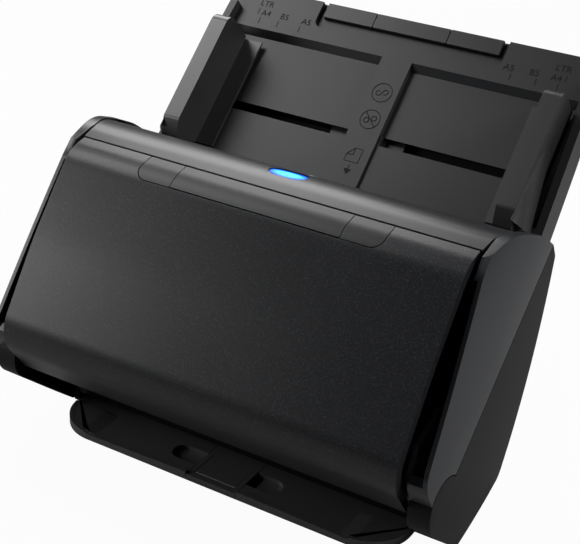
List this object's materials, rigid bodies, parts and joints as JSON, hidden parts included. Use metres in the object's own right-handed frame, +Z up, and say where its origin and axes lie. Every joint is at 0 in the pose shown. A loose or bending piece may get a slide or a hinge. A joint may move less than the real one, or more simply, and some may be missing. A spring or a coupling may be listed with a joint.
{
  "type": "document scanner",
  "caption": "Desktop sheet-fed document scanner with a slanted paper path, hinged front unit, feed tray with sliding guides and pull-out trays.",
  "frame": {"origin": "on the table under the middle of the overall box", "axes": "+X to the right seen from the front, +Y to the back, +Z up"},
  "size_m": [0.291, 0.2624, 0.2314],
  "materials": {
    "cover_speckle": "fine speckled matte",
    "satin_black": "satin",
    "side_satin": "satin",
    "tray_black": "fine matte",
    "gloss_black": "satin gloss",
    "inner_black": "matte",
    "rubber_grey": "matte",
    "rubber_black": "matte",
    "steel": "brushed",
    "zinc_steel": "zinc plated",
    "brass": "plain",
    "gear_white": "acetal",
    "bush_white": "acetal",
    "glass": "clear",
    "board_green": "solder mask",
    "button_blue": "lit translucent",
    "motor_can": "satin"
  },
  "bodies": {
    "main_unit": {"base_pan": "inner_black", "left_rear_side": "satin_black", "right_rear_side": "satin_black", "hinge_pins": "steel", "rear_cover": "satin_black", "cover_screws": "zinc_steel", "power_inlet": "inner_black", "data_socket": "zinc_steel", "main_board": "board_green", "rear_guide_plate": "inner_black", "rear_scan_unit": "inner_black", "rear_scan_glass": "glass", "rubber_feet": "rubber_black", "left_side_plate": "zinc_steel", "right_side_plate": "zinc_steel", "idler_studs": "steel", "roller_bushes": "bush_white", "drive_motor": "motor_can", "feed_tray": "tray_black", "tray_back": "tray_black"},
    "front_unit": {"front_cover": "cover_speckle", "top_cover": "satin_black", "left_front_side": "side_satin", "right_front_side": "side_satin", "front_frame": "inner_black", "hinge_arms": "zinc_steel", "front_guide_plate": "inner_black", "operation_board": "board_green", "front_scan_unit": "inner_black", "front_scan_glass": "glass"},
    "release_lever": {"release_lever": "satin_black"},
    "left_key": {"left_key": "satin_black"},
    "right_key": {"right_key": "satin_black"},
    "power_button": {"power_button": "button_blue"},
    "retard_roller": {"retard_shaft": "steel", "retard_tyres": "rubber_grey"},
    "middle_pinch_roller": {"middle_pinch_shaft": "steel", "middle_pinch_tyres": "rubber_grey"},
    "exit_pinch_roller": {"exit_pinch_shaft": "steel", "exit_pinch_tyres": "rubber_grey"},
    "feed_roller": {"feed_roller_shaft": "steel", "feed_roller_tyres": "rubber_grey", "feed_roller_gear": "gear_white"},
    "middle_roller": {"middle_roller_shaft": "steel", "middle_roller_tyres": "rubber_grey", "middle_roller_gear": "gear_white"},
    "exit_roller": {"exit_roller_shaft": "steel", "exit_roller_tyres": "rubber_grey", "exit_roller_gear": "gear_white"},
    "first_idler": {"first_idler_gear": "gear_white"},
    "second_idler": {"second_idler_gear": "gear_white"},
    "motor_rotor": {"motor_pinion": "brass"},
    "left_guide": {"left_guide": "gloss_black"},
    "right_guide": {"right_guide": "gloss_black"},
    "guide_pinion": {"guide_pinion": "gear_white"},
    "tray_extension": {"tray_extension": "tray_black"},
    "extension_tip": {"extension_tip": "tray_black"},
    "eject_tray": {"eject_tray": "tray_black"},
    "eject_extension": {"eject_extension": "tray_black"},
    "eject_stopper": {"eject_stopper": "gloss_black"}
  },
  "joints": [
    {"name": "front_open", "type": "hinge", "parent": "main_unit", "child": "front_unit", "pos_m": [0, -0.10305, 0.054], "axis": [1, 0, 0], "range_deg": [0, 58]},
    {"name": "lever_press", "type": "hinge", "parent": "front_unit", "child": "release_lever", "pos_m": [0, -0.05325, 0.1748], "axis": [1, 0, 0], "range_deg": [0, 2.5], "stiffness_Nm_per_rad": 2},
    {"name": "left_key_press", "type": "slide", "parent": "front_unit", "child": "left_key", "axis": [0, 0.8048, -0.5935], "range_m": [0, 0.001], "stiffness_N_per_m": 600},
    {"name": "right_key_press", "type": "slide", "parent": "front_unit", "child": "right_key", "axis": [0, 0.8048, -0.5935], "range_m": [0, 0.001], "stiffness_N_per_m": 600},
    {"name": "power_press", "type": "slide", "parent": "front_unit", "child": "power_button", "axis": [0, 0, -1], "range_m": [0, 0.0008], "stiffness_N_per_m": 600},
    {"name": "retard_spin", "type": "hinge", "parent": "front_unit", "child": "retard_roller", "pos_m": [0, -0.00554, 0.12006], "axis": [1, 0, 0], "continuous": true},
    {"name": "middle_pinch_spin", "type": "hinge", "parent": "front_unit", "child": "middle_pinch_roller", "pos_m": [0, -0.03396, 0.09356], "axis": [1, 0, 0], "continuous": true},
    {"name": "exit_pinch_spin", "type": "hinge", "parent": "front_unit", "child": "exit_pinch_roller", "pos_m": [0, -0.06858, 0.06127], "axis": [1, 0, 0], "continuous": true},
    {"name": "feed_spin", "type": "hinge", "parent": "main_unit", "child": "feed_roller", "pos_m": [0, 0.00503, 0.10873], "axis": [1, 0, 0], "continuous": true},
    {"name": "middle_spin", "type": "hinge", "parent": "main_unit", "child": "middle_roller", "pos_m": [0, -0.02339, 0.08223], "axis": [1, 0, 0], "continuous": true},
    {"name": "exit_spin", "type": "hinge", "parent": "main_unit", "child": "exit_roller", "pos_m": [0, -0.05801, 0.04994], "axis": [1, 0, 0], "continuous": true},
    {"name": "first_idler_spin", "type": "hinge", "parent": "main_unit", "child": "first_idler", "pos_m": [0, -0.00594, 0.092], "axis": [1, 0, 0], "continuous": true},
    {"name": "second_idler_spin", "type": "hinge", "parent": "main_unit", "child": "second_idler", "pos_m": [0, -0.03337, 0.05822], "axis": [1, 0, 0], "continuous": true},
    {"name": "motor_spin", "type": "hinge", "parent": "main_unit", "child": "motor_rotor", "pos_m": [0, -0.017, 0.04067], "axis": [1, 0, 0], "continuous": true},
    {"name": "right_guide_slide", "type": "slide", "parent": "main_unit", "child": "right_guide", "axis": [-1, 0, 0], "range_m": [0, 0.078]},
    {"name": "left_guide_slide", "type": "slide", "parent": "main_unit", "child": "left_guide", "axis": [1, 0, 0], "range_m": [0, 0.078]},
    {"name": "guide_pinion_spin", "type": "hinge", "parent": "main_unit", "child": "guide_pinion", "pos_m": [0, 0.0695, 0.16495], "axis": [0, -0.682, 0.7314], "range_deg": [-960, 960]},
    {"name": "extension_slide", "type": "slide", "parent": "main_unit", "child": "tray_extension", "axis": [0, 0.7314, 0.682], "range_m": [0, 0.096]},
    {"name": "tip_slide", "type": "slide", "parent": "tray_extension", "child": "extension_tip", "axis": [0, 0.7314, 0.682], "range_m": [0, 0.084]},
    {"name": "eject_slide", "type": "slide", "parent": "main_unit", "child": "eject_tray", "axis": [0, -1, 0], "range_m": [0, 0.084]},
    {"name": "eject_extension_slide", "type": "slide", "parent": "eject_tray", "child": "eject_extension", "axis": [0, -1, 0], "range_m": [0, 0.07]},
    {"name": "stopper_flip", "type": "hinge", "parent": "eject_extension", "child": "eject_stopper", "pos_m": [0, -0.09925, 0.00905], "axis": [1, 0, 0], "range_deg": [0, 80]}
  ],
  "couplings": [
    {"joint": "first_idler_spin", "follows": "feed_spin", "ratio": -0.66667},
    {"joint": "middle_spin", "follows": "feed_spin", "ratio": 1},
    {"joint": "second_idler_spin", "follows": "feed_spin", "ratio": -0.44444},
    {"joint": "exit_spin", "follows": "feed_spin", "ratio": 1},
    {"joint": "motor_spin", "follows": "feed_spin", "ratio": 1.3333},
    {"joint": "left_guide_slide", "follows": "right_guide_slide", "ratio": 1},
    {"joint": "guide_pinion_spin", "follows": "right_guide_slide", "rad_per_m": -208.33}
  ]
}
